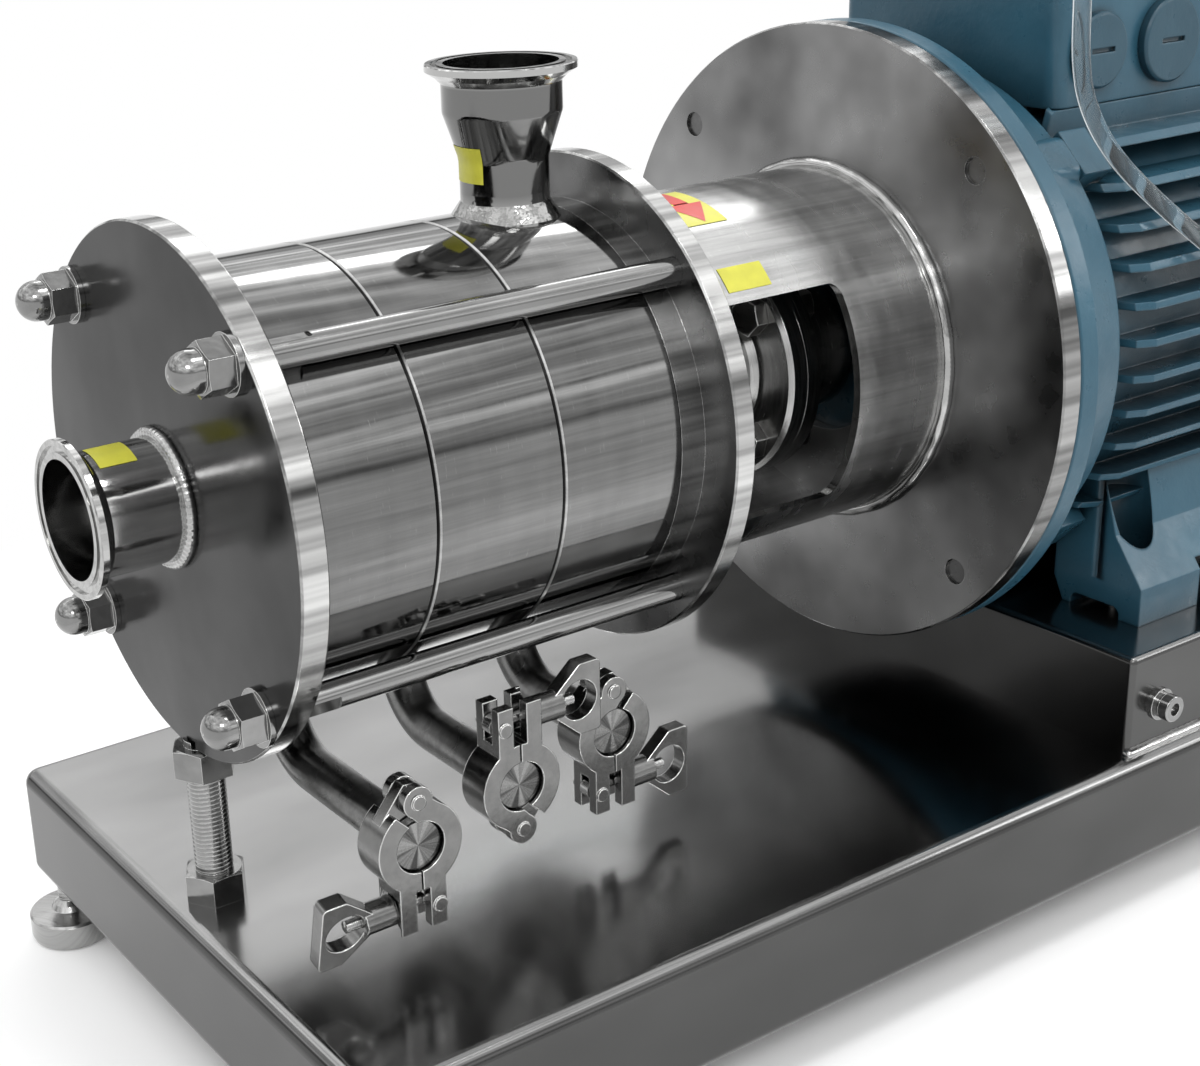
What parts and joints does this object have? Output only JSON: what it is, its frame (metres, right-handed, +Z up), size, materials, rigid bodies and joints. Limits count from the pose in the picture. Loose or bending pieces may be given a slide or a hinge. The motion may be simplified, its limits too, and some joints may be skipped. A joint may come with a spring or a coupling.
{
  "type": "in-line high shear mixer",
  "caption": "In-line rotor and stator mixer with tri-clamp inlet and outlet, drain clamps, windowed lantern and finned foot motor on a stainless base with levelling feet.",
  "frame": {"origin": "centre of the rectangle that the machine covers, on the floor under the feet", "axes": "+X along the shaft from the inlet towards the motor, +Z up, -Y the side with the drain caps"},
  "size_m": [0.853, 0.3679, 0.4938],
  "materials": {
    "polished_stainless": "mirror-polished stainless steel",
    "machined_stainless": "turned and milled stainless steel",
    "brushed_tube": "stainless tube brushed round its axis",
    "brushed_sheet": "bent stainless sheet, satin brushed",
    "cast_stainless": "investment cast stainless, bead blasted",
    "plated_bolts": "zinc-plated steel",
    "turned_steel": "turned steel",
    "bearing_steel": "ground bearing steel",
    "winding_core": "laminated core with varnished copper windings",
    "motor_paint": "grey-blue machine enamel, semi-gloss",
    "gasket_rubber": "black EPDM rubber",
    "seal_bellows": "rubber bellows behind a carbon face ring",
    "seal_ceramic": "hard dark seal face",
    "fan_plastic": "moulded black plastic",
    "plug_plastic": "moulded dark plastic",
    "clear_hose": "clear flexible tube"
  },
  "bodies": {
    "machine": {"base_frame": "brushed_sheet", "motor_plinth": "brushed_sheet", "support_jack": "machined_stainless", "front_plate": "polished_stainless", "inlet_pipe": "polished_stainless", "outlet_pipe": "polished_stainless", "gaskets": "gasket_rubber", "rear_cover": "polished_stainless", "tie_rods": "machined_stainless", "cap_nuts": "machined_stainless", "seal_seat": "seal_ceramic", "seal_gland": "machined_stainless", "lantern": "brushed_tube", "adapter_disc": "machined_stainless", "motor_front_shield": "motor_paint", "motor_frame": "motor_paint", "motor_rear_shield": "motor_paint", "motor_stator": "winding_core", "motor_bearings": "bearing_steel", "fan_cowl": "motor_paint", "terminal_box": "motor_paint", "terminal_lid": "motor_paint", "terminal_plugs": "plug_plastic", "motor_bolts": "plated_bolts", "drain_pipes": "polished_stainless", "drain_caps": "polished_stainless", "clamp_seats": "cast_stainless", "cooling_hose": "clear_hose", "hose_fittings": "machined_stainless", "casing_ring_1": "brushed_tube", "stator_1": "machined_stainless", "casing_ring_2": "brushed_tube", "stator_2": "machined_stainless", "casing_ring_3": "brushed_tube", "stator_3": "machined_stainless"},
    "rotating_shaft": {"rotor_1": "machined_stainless", "rotor_2": "machined_stainless", "rotor_3": "machined_stainless", "rotor_spacers": "machined_stainless", "rotor_nut": "machined_stainless", "mixer_shaft": "machined_stainless", "seal_ring": "seal_bellows", "coupling_hub_front": "machined_stainless", "coupling_hub_rear": "machined_stainless", "coupling_bolts": "plated_bolts", "motor_rotor": "turned_steel", "fan": "fan_plastic"},
    "clamp_jaw_1": {"clamp_jaw_1": "cast_stainless"},
    "clamp_bolt_1": {"clamp_bolt_1": "machined_stainless"},
    "wing_nut_1": {"wing_nut_1": "cast_stainless"},
    "clamp_jaw_2": {"clamp_jaw_2": "cast_stainless"},
    "clamp_bolt_2": {"clamp_bolt_2": "machined_stainless"},
    "wing_nut_2": {"wing_nut_2": "cast_stainless"},
    "clamp_jaw_3": {"clamp_jaw_3": "cast_stainless"},
    "clamp_bolt_3": {"clamp_bolt_3": "machined_stainless"},
    "wing_nut_3": {"wing_nut_3": "cast_stainless"},
    "levelling_foot_1": {"levelling_foot_1": "machined_stainless"},
    "levelling_foot_2": {"levelling_foot_2": "machined_stainless"},
    "levelling_foot_3": {"levelling_foot_3": "machined_stainless"},
    "levelling_foot_4": {"levelling_foot_4": "machined_stainless"}
  },
  "joints": [
    {"name": "shaft_spin", "type": "hinge", "parent": "machine", "child": "rotating_shaft", "pos_m": [-0.1855, 0, 0.269], "axis": [1, 0, 0], "continuous": true},
    {"name": "clamp_jaw_1_open", "type": "hinge", "parent": "machine", "child": "clamp_jaw_1", "pos_m": [-0.3415, -0.1007, 0.164], "axis": [0, 1, 0], "range_deg": [0, 16]},
    {"name": "clamp_bolt_1_swing", "type": "hinge", "parent": "machine", "child": "clamp_bolt_1", "pos_m": [-0.3341, -0.1007, 0.117], "axis": [0, -1, 0], "range_deg": [0, 11]},
    {"name": "wing_nut_1_back_off", "type": "slide", "parent": "clamp_bolt_1", "child": "wing_nut_1", "axis": [-1, 0, 0], "range_m": [0, 0.016]},
    {"name": "clamp_jaw_2_open", "type": "hinge", "parent": "machine", "child": "clamp_jaw_2", "pos_m": [-0.282, -0.0847, 0.125], "axis": [0, 1, 0], "range_deg": [0, 16]},
    {"name": "clamp_bolt_2_swing", "type": "hinge", "parent": "machine", "child": "clamp_bolt_2", "pos_m": [-0.2894, -0.0847, 0.172], "axis": [0, -1, 0], "range_deg": [0, 40]},
    {"name": "wing_nut_2_back_off", "type": "slide", "parent": "clamp_bolt_2", "child": "wing_nut_2", "axis": [1, 0, 0], "range_m": [0, 0.016]},
    {"name": "clamp_jaw_3_open", "type": "hinge", "parent": "machine", "child": "clamp_jaw_3", "pos_m": [-0.2225, -0.0697, 0.164], "axis": [0, -1, 0], "range_deg": [0, 16]},
    {"name": "clamp_bolt_3_swing", "type": "hinge", "parent": "machine", "child": "clamp_bolt_3", "pos_m": [-0.2299, -0.0697, 0.117], "axis": [0, 1, 0], "range_deg": [0, 11]},
    {"name": "wing_nut_3_back_off", "type": "slide", "parent": "clamp_bolt_3", "child": "wing_nut_3", "axis": [1, 0, 0], "range_m": [0, 0.016]},
    {"name": "levelling_foot_1_height", "type": "slide", "parent": "machine", "child": "levelling_foot_1", "axis": [0, 0, -1], "range_m": [0, 0.012]},
    {"name": "levelling_foot_2_height", "type": "slide", "parent": "machine", "child": "levelling_foot_2", "axis": [0, 0, -1], "range_m": [0, 0.012]},
    {"name": "levelling_foot_3_height", "type": "slide", "parent": "machine", "child": "levelling_foot_3", "axis": [0, 0, -1], "range_m": [0, 0.012]},
    {"name": "levelling_foot_4_height", "type": "slide", "parent": "machine", "child": "levelling_foot_4", "axis": [0, 0, -1], "range_m": [0, 0.012]}
  ],
  "couplings": [
    {"joint": "wing_nut_1_back_off", "follows": "clamp_jaw_1_open", "m_per_rad": 0.054},
    {"joint": "wing_nut_2_back_off", "follows": "clamp_jaw_2_open", "m_per_rad": 0.054},
    {"joint": "wing_nut_3_back_off", "follows": "clamp_jaw_3_open", "m_per_rad": 0.054}
  ]
}
